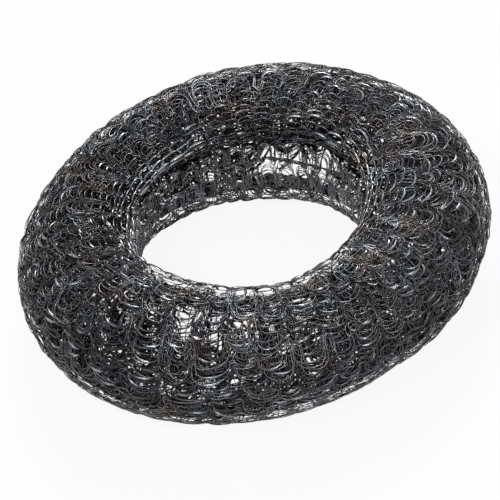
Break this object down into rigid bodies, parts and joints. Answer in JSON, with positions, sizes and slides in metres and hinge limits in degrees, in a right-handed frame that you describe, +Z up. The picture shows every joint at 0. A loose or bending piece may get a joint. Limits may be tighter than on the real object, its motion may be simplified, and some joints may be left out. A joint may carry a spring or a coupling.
{
  "type": "metal scourer",
  "caption": "Soft ring of knitted steel wire for scouring pots: a knitted sleeve rolled up on itself, with a hole in the middle for fingers or a hook.",
  "frame": {"origin": "middle of the ring's outline, on the plane that it rests on", "axes": "+Z up through the hole; the picture looks along +Y and down, with +X to the right"},
  "size_m": [0.095, 0.0952, 0.029],
  "materials": {
    "steel_wire": "dark drawn wire, satin with bright glints"
  },
  "bodies": {
    "root": {"knitted_ring": "steel_wire"}
  },
  "joints": []
}
